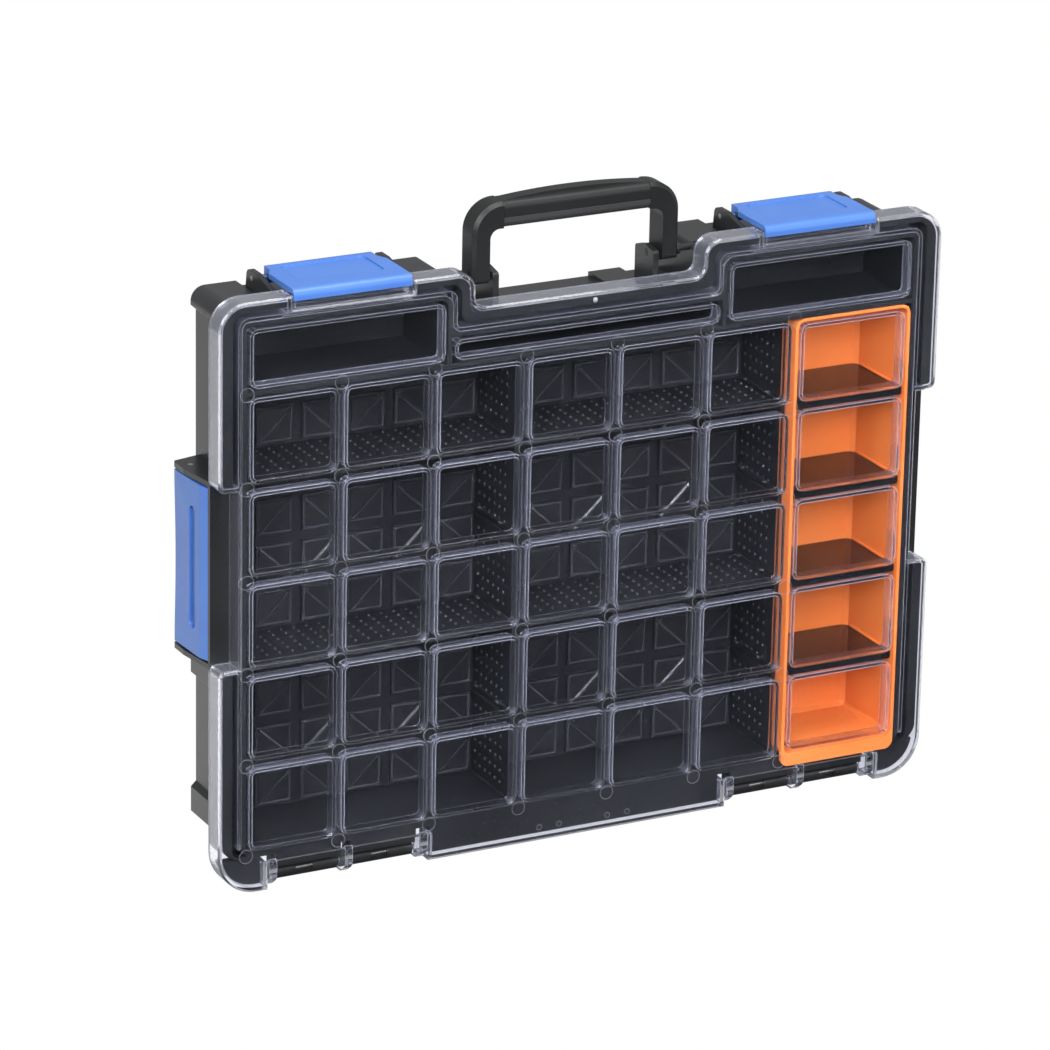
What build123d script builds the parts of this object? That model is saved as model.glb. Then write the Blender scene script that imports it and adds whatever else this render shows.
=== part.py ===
from build123d import *
from math import cos, radians, sin, tan
import os

# Compartment storage box, standing upright on its hinge side, in millimetres.
# X runs across the box, Y runs from the clear lid at the front to the back, Z points up.
# The origin is the middle of the footprint, level with the feet.
# Depths are measured back from the front face of the lid.

# Compartment grid
COLUMN_PITCH = 54.5
COLUMNS = 6
BIN_COLUMN = 74.0
ROW_PITCH = 52.24
ROWS = 5
WALL = 2.5
TOP_POCKET = 35.75
NOTCH_HALF = 81.5
NOTCH_DROP = 21.1

# Depth of the closed box and of its layers
DEPTH = 62.0
LID_PLATE = 2.2
SKIRT_DEPTH = 13.2
SEAM = 0.3
FLANGE = 2.5
WALL_FRONT = 2.7
LOW_WALL_FRONT = 5.4
FLOOR = 5.0
CHANNEL = 1.5
BACK_POCKET = 1.8
POCKET_EDGE = 3.0

# Lid outline outside the tray wall
RIM_SIDE = 14.3
RIM_TOP = 11.6
RIM_NOTCH = 12.8
RIM_BOTTOM = 19.85
LID_WALL = 2.4
LID_TOP_CORNER = 16.0
LID_BOTTOM_CORNER = 23.0
TONGUE_GAP = 0.5
TONGUE = 1.8
TONGUE_DEPTH = 12.0
TONGUE_START = 26.0
GROOVE = 3.2
RIDGE_GAP = 0.6
FRAME_WIDTH = 1.6
FRAME_DEPTH = 7.0
FRAME_SIDE_GAP = 1.8
FRAME_ROW_GAP = 2.75
FRAME_CORNER = 4.0
CORNER_FACETS = 2
CATCH = 2.2

# Side cut-outs and the latches on them
CUT_LOW = 129.7
CUT_HIGH = 229.4
CUT_FILLET = 4.5
SIDE_PLATE = 3.0
SIDE_PIVOT_OUT = 10.9
SIDE_PIVOT_DEPTH = 44.3
SIDE_LATCH_OUT = 17.0
SIDE_LATCH_INSET = 9.0
SIDE_LATCH_CLEAR = 1.3
SIDE_LATCH_SHEET = 3.5
SIDE_LATCH_NOSE = 3.2
SIDE_LATCH_DISH = 1.2
SIDE_SLOT = 7.0
SIDE_SLOT_LENGTH = 62.0
SIDE_SLOT_DEPTH = 31.0
SIDE_SLOT_DROP = 2.6
HOUSING_CORNER = 13.0

# Latches on the top edge
LATCH_INNER = 105.5
LATCH_OUTER = 175.0
LATCH_SIDE_GAP = 0.5
RECESS_DROP = 7.5
LATCH_PIVOT_DEPTH = 44.0
LATCH_PIVOT_RISE = 9.2
LATCH_TOP_RISE = 15.0
LATCH_SHEET = 3.0
LATCH_LIP = 2.0
LATCH_HOOK = 2.3
LATCH_HIP = 16.0
LATCH_WAIST = 3.0
PRESS_WIDTH = 50.0
PRESS_LENGTH = 28.0
PRESS_DEPTH = 27.0
PRESS_DROP = 0.9
BARREL_RADIUS = 3.5
FIN = 3.0
FIN_GAP = 1.0
FIN_RISE = 13.4
FIN_REACH = 6.0

# Hinge along the bottom
HINGE_DEPTH = 12.5
HINGE_Z = 4.5
HINGE_BARREL = 4.0
HINGE_PIN_RADIUS = 1.5
HINGE_ZONE = 96.0
HINGE_MARGIN = 29.3
HINGE_EDGE = 15.5
HOOK_INSET = 3.0
HOOK_WIDTH = 4.5
HOOK_ROOT = 1.5
SLOT_GAP = 0.5
SWEEP = 13.8
WINDOW_WIDTH = 10.0
WINDOW_HALF = 2.3

# Pins and their running fits
PIN_RADIUS = 1.5
PRESS_GAP = 0.02
RUN_GAP = 0.06

# Carrying handle
HANDLE_HALF = 62.0
HANDLE_ARM = 10.0
HANDLE_FRONT = 17.5
HANDLE_THICK = 15.5
HANDLE_FOOT_DROP = 4.0
HANDLE_PIVOT_RISE = 22.3
HANDLE_RISE = 41.0
GRIP_HEIGHT = 14.5
GRIP_CROWN = 2.3
GRIP_HALF = 44.0
GRIP_LOWER = 5.8
HANDLE_OUTER_CORNER = 17.0
HANDLE_INNER_CORNER = 5.5
HANDLE_PIN_RADIUS = 2.0
LUG = 3.5
LUG_GAP = 2.0
LUG_DEPTH = 21.0
LUG_RISE = 4.0
LEDGE = 19.5
LEDGE_RISE = 2.5
BOSS_GAP = 10.0
COLLAR = 1.4
COLLAR_WIDTH = 2.8

# Bumpers and feet
BUMPER = 3.0
CORNER_BUMPER_HEIGHT = 10.0
CORNER_BUMPER_WIDTH = 26.0
CORNER_BUMPER_RADIUS = 8.0
NOTCH_BUMPER = 19.5
LOW_BUMPER = 23.2
SIDE_BUMPER = 22.7
FOOT = 68.0
FOOT_INSET = 17.0
FOOT_DEPTH = 12.0

# Dividers and bin
DIVIDER = 2.4
DIVIDER_GAP = 0.3
ROW_DIVIDER_FRONT = 9.6
LONG_DIVIDER_FRONT = 12.0
RAIL = 1.3
RAIL_REACH = 1.6
BIN_WALL = 1.8
BIN_FRONT = 2.8
BIN_GAP = 0.3
BIN_LIP = 5.6
BIN_DIVIDER_FRONT = 10.2
BIN_DRAFT = 0.9
BIN_DIVIDER = 2.2
BIN_FRAME_GAP = 2.6
BIN_CORNER = 5.0
BIN_FLOOR_BEVEL = 2.5
BIN_RIB = 1.0

# Places worked out from the sizes above
FRONT = -DEPTH / 2
FLOOR_FRONT = DEPTH - FLOOR
SIDE_LATCH_BACK = DEPTH - SIDE_LATCH_INSET
INNER_HALF = (COLUMNS * COLUMN_PITCH + BIN_COLUMN) / 2
OUTER_HALF = INNER_HALF + WALL
TRAY_BASE = RIM_BOTTOM
GRID_LOW = TRAY_BASE + WALL / 2
GRID_TOP = GRID_LOW + ROWS * ROW_PITCH
TRAY_TOP = GRID_TOP + WALL / 2 + TOP_POCKET + WALL
NOTCH_Z = TRAY_TOP - NOTCH_DROP
LID_HALF = OUTER_HALF + RIM_SIDE
LID_TOP = TRAY_TOP + RIM_TOP
LID_NOTCH_HALF = NOTCH_HALF - RIM_NOTCH
LID_NOTCH_Z = NOTCH_Z + RIM_NOTCH
FLANGE_FRONT = SKIRT_DEPTH + SEAM
FLANGE_BACK = FLANGE_FRONT + FLANGE
TONGUE_OUT = TONGUE_GAP + TONGUE
CUT_HALF = OUTER_HALF + TONGUE_OUT
RECESS_Z = LID_TOP - RECESS_DROP
LATCH_PIVOT_Z = TRAY_TOP + LATCH_PIVOT_RISE
LATCH_TOP_Z = TRAY_TOP + LATCH_TOP_RISE
HANDLE_PIVOT_Z = NOTCH_Z + HANDLE_PIVOT_RISE
HANDLE_TOP = HANDLE_PIVOT_Z + HANDLE_RISE
HANDLE_MID = HANDLE_FRONT + HANDLE_THICK / 2
BOSS_HALF = HANDLE_HALF + BOSS_GAP
LUG_INNER = HANDLE_HALF - HANDLE_ARM - LUG_GAP - LUG
SIDE_PIVOT_X = OUTER_HALF + SIDE_PIVOT_OUT
SIDE_LATCH_X = OUTER_HALF + SIDE_LATCH_OUT
FOOT_OUTER = OUTER_HALF - FOOT_INSET
HINGE_ZONE_OUTER = LID_HALF - HINGE_MARGIN
HINGE_ZONE_INNER = HINGE_ZONE_OUTER - HINGE_ZONE
COLUMN_LINES = [-INNER_HALF + COLUMN_PITCH * i for i in range(COLUMNS + 1)]
ROW_LINES = [GRID_LOW + ROW_PITCH * j for j in range(ROWS + 1)]
LONG_LINES = [COLUMN_LINES[COLUMNS // 2], COLUMN_LINES[COLUMNS]]
DIVIDED_ROWS = [ROW_LINES[ROWS - 1], ROW_LINES[2]]
HOOK_FIRST = HINGE_ZONE_INNER + HOOK_INSET
HOOK_LAST = HINGE_ZONE_OUTER - HOOK_INSET
HOOK_PLACES = (HOOK_FIRST, (HOOK_FIRST + HOOK_LAST) / 2, HOOK_LAST)
BIG = 1000.0


def rounded(points, radii):
    """A closed face through the points, with each corner rounded to its own radius."""
    return make_face(FilletPolyline(*points, radius=radii, close=True))


def facet_rectangle(width, height, corner):
    """A rectangle whose corners follow a quarter circle in a few flat facets."""
    points = []
    for quarter in range(4):
        across = (1, -1, -1, 1)[quarter] * (width / 2 - corner)
        up = (1, 1, -1, -1)[quarter] * (height / 2 - corner)
        for step in range(CORNER_FACETS + 1):
            turn = radians(90 * (quarter + step / CORNER_FACETS))
            points.append((across + corner * cos(turn), up + corner * sin(turn)))
    return make_face(Polyline(*points, close=True))


def slab(outline, near, far):
    """A face drawn in X and Z, filled from one depth to another."""
    plane = Plane(origin=(0, FRONT + near, 0), x_dir=(1, 0, 0), z_dir=(0, -1, 0))
    return extrude(plane * outline, amount=near - far)


def block(left, right, near, far, low, high):
    """A box between two widths, two depths and two heights."""
    centre = ((left + right) / 2, FRONT + (near + far) / 2, (low + high) / 2)
    return Pos(*centre) * Box(right - left, far - near, high - low)


def along_x(section, left, right):
    """A face drawn in depth and Z, filled from one X to another."""
    plane = Plane(origin=(left, FRONT, 0), x_dir=(0, 1, 0), z_dir=(1, 0, 0))
    return extrude(plane * section, amount=right - left)


def along_z(section, low, high):
    """A face drawn in X and depth, filled from one height to another."""
    return extrude(Plane(origin=(0, FRONT, low)) * section, amount=high - low)


def rod_x(depth, z, radius, left, right):
    """A round bar along X."""
    return along_x(Pos(depth, z) * Circle(radius), left, right)


def rod_z(x, depth, radius, low, high):
    """A round bar along Z."""
    return along_z(Pos(x, depth) * Circle(radius), low, high)


def both_sides(shapes):
    """The shapes and their mirror images across the middle of the box."""
    return shapes + [mirror(shape, about=Plane.YZ) for shape in shapes]


def mirrored(points, radii):
    """A symmetrical face from the corners of its right half, listed from the bottom up."""
    left = [(-x, z) for x, z in reversed(points)]
    return rounded(points + left, radii + radii[::-1])


def notched(out_side, out_low, out_top, out_notch, low_corner, top_corner, notch_corner):
    """The tray wall's outline with its handle notch, moved outwards by the given amounts."""
    half = OUTER_HALF + out_side
    low = TRAY_BASE - out_low
    top = TRAY_TOP + out_top
    inner = NOTCH_HALF - out_notch
    floor = NOTCH_Z + out_notch
    points = [(half, low), (half, top), (inner, top), (inner, floor)]
    return mirrored(points, [low_corner, top_corner, notch_corner, notch_corner * 0.7])


def lid_outline():
    """Front view of the lid: hinge gaps, side cut-outs, latch recesses and handle notch."""
    points = [
        (HINGE_ZONE_INNER, 0),
        (HINGE_ZONE_INNER, HINGE_EDGE),
        (HINGE_ZONE_OUTER, HINGE_EDGE),
        (HINGE_ZONE_OUTER, 0),
        (LID_HALF, 0),
        (LID_HALF, CUT_LOW),
        (CUT_HALF, CUT_LOW),
        (CUT_HALF, CUT_HIGH),
        (LID_HALF, CUT_HIGH),
        (LID_HALF, LID_TOP),
        (LATCH_OUTER, LID_TOP),
        (LATCH_OUTER, RECESS_Z),
        (LATCH_INNER, RECESS_Z),
        (LATCH_INNER, LID_TOP),
        (LID_NOTCH_HALF, LID_TOP),
        (LID_NOTCH_HALF, LID_NOTCH_Z),
    ]
    cut = CUT_FILLET
    radii = [0, 0, 0, 0, LID_BOTTOM_CORNER, cut, 0, 0, cut, LID_TOP_CORNER, 0, 0, 0, 0, 10, 6]
    return mirrored(points, radii)


def frame_places():
    """Centre and size of each rib frame under the lid: one over every compartment."""
    places = []
    width = COLUMN_PITCH - 2 * FRAME_SIDE_GAP
    height = ROW_PITCH - 2 * FRAME_ROW_GAP
    for x in COLUMN_LINES[:-1]:
        for z in ROW_LINES[:-1]:
            places.append((x + COLUMN_PITCH / 2, z + ROW_PITCH / 2, width, height))
    low = COLUMN_LINES[-1] + DIVIDER / 2 + BIN_WALL + FRAME_SIDE_GAP
    high = INNER_HALF - BIN_GAP - BIN_WALL - FRAME_SIDE_GAP - BIN_GAP
    bin_low = TRAY_BASE + WALL + BIN_GAP + BIN_WALL + BIN_FRAME_GAP
    bin_high = GRID_TOP - WALL / 2 - BIN_GAP - BIN_WALL - FRAME_SIDE_GAP
    for z in ROW_LINES[:-1]:
        bottom = max(z + FRAME_ROW_GAP, bin_low)
        top = min(z + ROW_PITCH - FRAME_ROW_GAP, bin_high)
        places.append(((low + high) / 2, (bottom + top) / 2, high - low, top - bottom))
    floor = GRID_TOP + WALL / 2 + FRAME_SIDE_GAP
    side_top = TRAY_TOP - WALL - FRAME_SIDE_GAP
    inner = NOTCH_HALF + WALL + FRAME_SIDE_GAP
    outer = INNER_HALF - FRAME_SIDE_GAP
    for side in (-1, 1):
        centre = side * (inner + outer) / 2
        places.append((centre, (floor + side_top) / 2, outer - inner, side_top - floor))
    middle_top = NOTCH_Z - WALL - FRAME_SIDE_GAP
    half = NOTCH_HALF - FRAME_SIDE_GAP
    places.append((0, (floor + middle_top) / 2, 2 * half, middle_top - floor))
    return places


def rib_frame(place):
    """One rounded rib loop that reaches into its compartment and keeps small parts in it."""
    x, z, width, height = place
    loop = facet_rectangle(width, height, FRAME_CORNER)
    inside = facet_rectangle(
        width - 2 * FRAME_WIDTH, height - 2 * FRAME_WIDTH, FRAME_CORNER - FRAME_WIDTH
    )
    return slab(Pos(x, z) * (loop - inside), LID_PLATE, LID_PLATE + FRAME_DEPTH)


def lid_hook(x):
    """A flat-fronted half-moon hook that hangs from the lid's lower edge round the hinge pin."""
    rear = HINGE_DEPTH + HINGE_BARREL
    section = rounded(
        [
            (0, HINGE_EDGE + HOOK_ROOT),
            (0, HINGE_Z + 1),
            (HINGE_DEPTH - 6, HINGE_Z - HINGE_BARREL),
            (rear, HINGE_Z - HINGE_BARREL),
            (rear, HINGE_Z + HINGE_BARREL),
            (LID_PLATE, HINGE_EDGE + HOOK_ROOT),
        ],
        [0, 6, 3, HINGE_BARREL - 0.1, HINGE_BARREL - 0.1, 0],
    )
    hook = along_x(section, x - HOOK_WIDTH / 2, x + HOOK_WIDTH / 2)
    bore = rod_x(HINGE_DEPTH, HINGE_Z, HINGE_PIN_RADIUS + RUN_GAP, x - HOOK_WIDTH, x + HOOK_WIDTH)
    return hook - bore


def make_lid():
    """Clear lid: flat plate, skirt, inner tongue, catch ridges, rib frames and hinge hooks."""
    outline = lid_outline()
    lid = slab(outline, 0, LID_PLATE)
    front_edges = lid.edges().group_by(Axis.Y)[0]
    lid = chamfer(front_edges, 1.0)
    inner = offset(outline, -LID_WALL, kind=Kind.INTERSECTION)
    tongue_inside = notched(TONGUE_GAP, TONGUE_GAP, TONGUE_GAP, TONGUE_GAP, 7, 4, 7)
    tongue_outside = notched(TONGUE_OUT, TONGUE_OUT, TONGUE_OUT, TONGUE_OUT, 9, 6, 5)
    mid = (HINGE_ZONE_INNER + HINGE_ZONE_OUTER) / 2
    zone = HINGE_ZONE_OUTER - HINGE_ZONE_INNER + 2 * LID_WALL
    hinge_gap = [
        Pos(side * mid, HINGE_EDGE + 2 * LID_WALL) * Rectangle(zone + 1, 4 * LID_WALL)
        for side in (-1, 1)
    ]
    skirt = outline - inner - tongue_inside - hinge_gap
    lid += slab(skirt, LID_PLATE, SKIRT_DEPTH)
    above = Pos(0, TONGUE_START + BIG / 2) * Rectangle(BIG, BIG)
    lid += slab((tongue_outside - tongue_inside) & above, LID_PLATE, TONGUE_DEPTH)
    near = LATCH_LIP + SEAM
    ridge_top = LATCH_TOP_Z - LATCH_SHEET - 0.8
    catch = block(
        LATCH_INNER + CATCH, LATCH_OUTER - CATCH, near, near + CATCH, RECESS_Z - 1, ridge_top
    )
    lid += both_sides([catch])
    lid += [rib_frame(place) for place in frame_places()]
    lid += both_sides([lid_hook(x) for x in HOOK_PLACES])
    return lid


def tray_shell():
    """Open box with the notched outline, the cross wall and the walls beside the notch."""
    wall = notched(0, 0, 0, 0, 6, 4, 6)
    cavity = notched(-WALL, -WALL, -WALL, -WALL, 4, 2, 4)
    shell = slab(wall, WALL_FRONT, DEPTH) - slab(cavity, WALL_FRONT - 1, FLOOR_FRONT)
    shell -= block(-BIG, BIG, 0, LOW_WALL_FRONT, 0, TRAY_BASE + WALL)
    shell -= block(-INNER_HALF, INNER_HALF, 0, LOW_WALL_FRONT, TRAY_BASE, TRAY_BASE + 3 * WALL)
    shell += block(
        -INNER_HALF, INNER_HALF, WALL_FRONT, FLOOR_FRONT, GRID_TOP - WALL / 2, GRID_TOP + WALL / 2
    )
    inner = NOTCH_HALF
    post = block(inner, inner + WALL, WALL_FRONT, FLOOR_FRONT, GRID_TOP, TRAY_TOP - WALL)
    post = post & slab(wall, WALL_FRONT, DEPTH)
    return shell + both_sides([post])


def waffle_floor():
    """Channels that leave four raised pads in every cell of the two divided blocks."""
    cuts = []
    width = 2 * FRAME_ROW_GAP
    low = ROW_LINES[0] + WALL / 2
    high = ROW_LINES[-1] - WALL / 2
    left = COLUMN_LINES[0]
    right = COLUMN_LINES[-1] - DIVIDER
    near = FLOOR_FRONT - 1
    far = FLOOR_FRONT + CHANNEL
    for i in range(2 * COLUMNS + 1):
        x = COLUMN_LINES[0] + COLUMN_PITCH / 2 * i
        cuts.append(block(x - width / 2, x + width / 2, near, far, low, high))
    for j in range(2 * ROWS + 1):
        z = ROW_LINES[0] + ROW_PITCH / 2 * j
        cuts.append(block(left, right, near, far, z - width / 2, z + width / 2))
    inside = block(-INNER_HALF, INNER_HALF, 0, DEPTH, low, high)
    return [cut & inside for cut in cuts]


def back_pockets():
    """Shallow recesses behind every cell, which keep the moulded back even in thickness."""
    pockets = []
    edge = 2 * POCKET_EDGE
    face = Rectangle(COLUMN_PITCH - edge, ROW_PITCH - edge)
    for x in COLUMN_LINES[:-1]:
        for z in ROW_LINES[:-1]:
            place = Pos(x + COLUMN_PITCH / 2, z + ROW_PITCH / 2)
            pockets.append(slab(place * face, DEPTH - BACK_POCKET, DEPTH + 1))
    return pockets


def rim():
    """Flange behind the lid's skirt, and the ridge that stands in the skirt beside the groove."""
    margin = LID_WALL + RIDGE_GAP
    around = notched(
        RIM_SIDE - margin, 0, RIM_TOP - margin, RIM_NOTCH - margin, 10, LID_TOP_CORNER - margin, 7
    )
    groove = notched(TONGUE_OUT + GROOVE, 0, TONGUE_OUT + GROOVE, TONGUE_OUT + GROOVE, 6, 6, 6)
    core = notched(-1, -1, -1, -1, 4, 2, 4)
    flange = slab(around - core, FLANGE_FRONT, FLANGE_BACK)
    inside_lid = offset(lid_outline(), -margin, kind=Kind.INTERSECTION)
    above = Pos(0, TRAY_BASE + BIG / 2) * Rectangle(BIG, BIG)
    ridge = slab((inside_lid - groove) & above & around, WALL_FRONT, FLANGE_FRONT + 1)
    half = LID_HALF - 1.0
    gap = SIDE_PLATE
    strip = block(OUTER_HALF - 1, half, FLANGE_FRONT, FLANGE_BACK, CUT_LOW, CUT_HIGH + gap)
    return [flange, ridge] + both_sides([strip])


def lower_rim():
    """Front web below the bottom wall, its flange, and the hinge barrel blocks."""
    margin = LID_WALL + 0.5
    low = margin
    half = LID_HALF - LID_WALL - RIDGE_GAP
    corner = LID_BOTTOM_CORNER - margin
    top = TRAY_BASE + 1
    high = 2 * TRAY_BASE
    outline = rounded([(-half, low), (half, low), (half, high), (-half, high)], [corner, corner, 0, 0])
    outline = outline & (Pos(0, TRAY_BASE / 2) * Rectangle(BIG, TRAY_BASE))
    web = slab(outline, LOW_WALL_FRONT, LOW_WALL_FRONT + WALL)
    tie_half = half - corner
    tie = block(-tie_half, tie_half, LOW_WALL_FRONT, LOW_WALL_FRONT + WALL, TRAY_BASE / 2, top)
    mid = (HINGE_ZONE_INNER + HINGE_ZONE_OUTER) / 2
    clear = HINGE_Z + HINGE_BARREL + HOOK_ROOT
    open_front = [
        block(x - HINGE_ZONE / 2, x + HINGE_ZONE / 2, 0, LOW_WALL_FRONT + WALL + 0.1, -1, clear)
        for x in (-mid, mid)
    ]
    flange_low = HINGE_Z + HINGE_BARREL + SLOT_GAP
    reach = half - corner / 2
    flange = block(-reach, reach, FLANGE_FRONT, FLANGE_BACK, flange_low, top)
    pieces = [web + tie - open_front, flange]
    section = rounded(
        [(HINGE_DEPTH - 3, top), (HINGE_DEPTH - 3, HINGE_Z), (FLANGE_BACK, HINGE_Z), (FLANGE_BACK, top)],
        [0, 0, 0, 0],
    ) + Pos(HINGE_DEPTH, HINGE_Z) * Circle(HINGE_BARREL)
    barrel = along_x(section, HOOK_PLACES[0], HOOK_PLACES[-1])
    return pieces + both_sides([barrel])


def hinge_cuts():
    """Slots for the lid's hooks, the pin bore and the windows that show the pin."""
    cuts = []
    half = HOOK_WIDTH / 2 + SLOT_GAP
    spans = [(x - half, x + half) for x in HOOK_PLACES]
    spans[0] = (HINGE_ZONE_INNER - LID_WALL - SLOT_GAP, spans[0][1])
    spans[-1] = (spans[-1][0], HINGE_ZONE_OUTER + LID_WALL + SLOT_GAP)
    for left, right in spans:
        cuts.append(block(left, right, -1, HINGE_DEPTH + SWEEP, -1, HINGE_Z + SWEEP))
    cuts.append(
        rod_x(HINGE_DEPTH, HINGE_Z, HINGE_PIN_RADIUS + PRESS_GAP, HOOK_PLACES[0], HOOK_PLACES[-1])
    )
    for first, second in zip(HOOK_PLACES, HOOK_PLACES[1:]):
        x = (first + second) / 2
        half = WINDOW_WIDTH / 2
        cuts.append(
            block(x - half, x + half, 0, HINGE_DEPTH, HINGE_Z - WINDOW_HALF, HINGE_Z + WINDOW_HALF)
        )
    return both_sides(cuts)


def bumpers():
    """Raised pads with sloped ends that take the knocks on the corners, sides and notch."""
    base = OUTER_HALF - 1
    face = OUTER_HALF + BUMPER
    shapes = []
    low_end = TRAY_BASE + BUMPER
    side_end = CUT_LOW - SIDE_PLATE
    for low, high in ((low_end, TRAY_BASE + LOW_BUMPER), (side_end - SIDE_BUMPER, side_end)):
        points = [(base, low), (OUTER_HALF, low), (face, low + BUMPER), (face, high - BUMPER)]
        points += [(OUTER_HALF, high), (base, high)]
        shapes.append(slab(rounded(points, [0, 0, 0, 0, 0, 0]), FLANGE_BACK - 1, DEPTH))
    roof = TRAY_TOP + BUMPER
    low = TRAY_TOP - CORNER_BUMPER_HEIGHT
    left = OUTER_HALF - CORNER_BUMPER_WIDTH
    corner = [
        (left, TRAY_TOP - 1),
        (left, TRAY_TOP),
        (left + BUMPER, roof),
        (face, roof),
        (face, low + BUMPER),
        (OUTER_HALF, low),
        (base, low),
        (base, TRAY_TOP - 1),
    ]
    radii = [0, 0, 0, CORNER_BUMPER_RADIUS, 0, 0, 0, 0]
    shapes.append(slab(rounded(corner, radii), FLANGE_BACK - 1, DEPTH))
    end = NOTCH_HALF + NOTCH_BUMPER
    notch = [
        (BOSS_HALF, NOTCH_Z - 1),
        (NOTCH_HALF + 1, NOTCH_Z - 1),
        (NOTCH_HALF + 1, TRAY_TOP - 1),
        (end, TRAY_TOP - 1),
        (end, TRAY_TOP),
        (end - BUMPER, roof),
        (BOSS_HALF, roof),
    ]
    shapes.append(slab(rounded(notch, [0, 0, 0, 0, 0, 0, 3]), FLANGE_BACK - 1, DEPTH))
    return both_sides(shapes)


def handle_lugs():
    """Plates that hold the inner ends of the handle pins, on the notch's ledge."""
    near = HANDLE_FRONT
    far = near + LUG_DEPTH
    top = HANDLE_PIVOT_Z + LUG_RISE
    section = rounded(
        [
            (near, NOTCH_Z - 1),
            (far, NOTCH_Z - 1),
            (far, top - 3),
            (near + LUG_DEPTH / 2, top),
            (near, top - 2),
        ],
        [0, 0, 2, 2, 2],
    )
    outer = LUG_INNER + LUG
    lug = along_x(section, LUG_INNER, outer)
    ledge = block(outer - LEDGE, outer, FLANGE_BACK - 1, DEPTH, NOTCH_Z - 1, NOTCH_Z + LEDGE_RISE)
    return both_sides([lug, ledge])


def latch_fins():
    """Guard fins that carry the pins of the top latches."""
    crest = TRAY_TOP + FIN_RISE
    section = rounded(
        [
            (FLANGE_BACK, TRAY_TOP - 1),
            (LATCH_PIVOT_DEPTH + FIN_REACH + 2, TRAY_TOP - 1),
            (LATCH_PIVOT_DEPTH + FIN_REACH, crest),
            (LATCH_PIVOT_DEPTH - FIN_REACH, crest),
            (FLANGE_BACK, crest - BARREL_RADIUS - 1),
        ],
        [0, 0, 4, 4, 2],
    )
    inner = along_x(section, LATCH_INNER - FIN_GAP - FIN, LATCH_INNER - FIN_GAP)
    outer = along_x(section, LATCH_OUTER + FIN_GAP, LATCH_OUTER + FIN_GAP + FIN)
    return both_sides([inner, outer])


def side_housing():
    """Plates above and below each side latch, which hold its upright pin."""
    back = SIDE_LATCH_BACK
    outline = rounded(
        [
            (OUTER_HALF - 1, FLANGE_FRONT),
            (LID_HALF - 1, FLANGE_FRONT),
            (SIDE_LATCH_X, back - HOUSING_CORNER),
            (SIDE_LATCH_X, back),
            (OUTER_HALF - 1, back + 4),
        ],
        [0, 0, 3, 2, 0],
    )
    plates = [
        along_z(outline, CUT_LOW - SIDE_PLATE, CUT_LOW),
        along_z(outline, CUT_HIGH, CUT_HIGH + SIDE_PLATE),
    ]
    return both_sides(plates)


def feet():
    """Two hollow feet that bring the back of the box level with the lid's lower edge."""
    near = DEPTH - FOOT_DEPTH
    inner = FOOT_OUTER - FOOT
    leg = block(inner, FOOT_OUTER, near, DEPTH, 0, TRAY_BASE + 1)
    hollow = block(inner + WALL, FOOT_OUTER - WALL, near + WALL, DEPTH + 1, WALL, TRAY_BASE - WALL)
    return both_sides([leg - hollow])


def rail_pair(place, near, far, face, side):
    """Two thin ribs on an upright face, with the slot for a row divider between them."""
    ribs = []
    gap = DIVIDER / 2 + DIVIDER_GAP
    ends = sorted((face - side * 0.5, face + side * RAIL_REACH))
    for up in (-1, 1):
        low, high = sorted((place + up * gap, place + up * (gap + RAIL)))
        ribs.append(block(ends[0], ends[1], near, far, low, high))
    return ribs


def tray_rails():
    """Slots for the row dividers on the left wall and for the long dividers on both walls."""
    ribs = []
    far = FLOOR_FRONT + 0.5
    for z in ROW_LINES[1:-1]:
        ribs += rail_pair(z, ROW_DIVIDER_FRONT + 0.4, far, -INNER_HALF, 1)
    gap = DIVIDER / 2 + DIVIDER_GAP
    low = TRAY_BASE + WALL
    high = GRID_TOP - WALL / 2
    near = LONG_DIVIDER_FRONT + 0.4
    for x in LONG_LINES:
        for side in (-1, 1):
            if side > 0 and x == LONG_LINES[-1]:
                continue
            left, right = sorted((x + side * gap, x + side * (gap + RAIL)))
            ribs.append(block(left, right, near, far, low - 0.5, low + RAIL_REACH))
            ribs.append(block(left, right, near, far, high - RAIL_REACH, high + 0.5))
    return ribs


def pin_bores():
    """Bores in the tray for the latch pins, the side latch pins and the handle pins."""
    bores = [
        rod_x(
            LATCH_PIVOT_DEPTH, LATCH_PIVOT_Z, PIN_RADIUS + PRESS_GAP,
            LATCH_INNER - 2 * FIN, LATCH_OUTER + 2 * FIN,
        ),
        rod_z(
            SIDE_PIVOT_X, SIDE_PIVOT_DEPTH, PIN_RADIUS + PRESS_GAP,
            CUT_LOW - 2 * SIDE_PLATE, CUT_HIGH + 2 * SIDE_PLATE,
        ),
        rod_x(
            HANDLE_MID, HANDLE_PIVOT_Z, HANDLE_PIN_RADIUS + PRESS_GAP,
            LUG_INNER - LUG, BOSS_HALF + 2 * BUMPER,
        ),
    ]
    return both_sides(bores)


def make_tray():
    """Black tray that carries everything else."""
    tray = tray_shell() - waffle_floor() - back_pockets()
    tray += rim()
    tray += lower_rim()
    tray += bumpers()
    tray += handle_lugs()
    tray += latch_fins()
    tray += side_housing()
    tray += feet()
    tray += tray_rails()
    tray -= hinge_cuts()
    tray -= pin_bores()
    return tray


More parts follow.
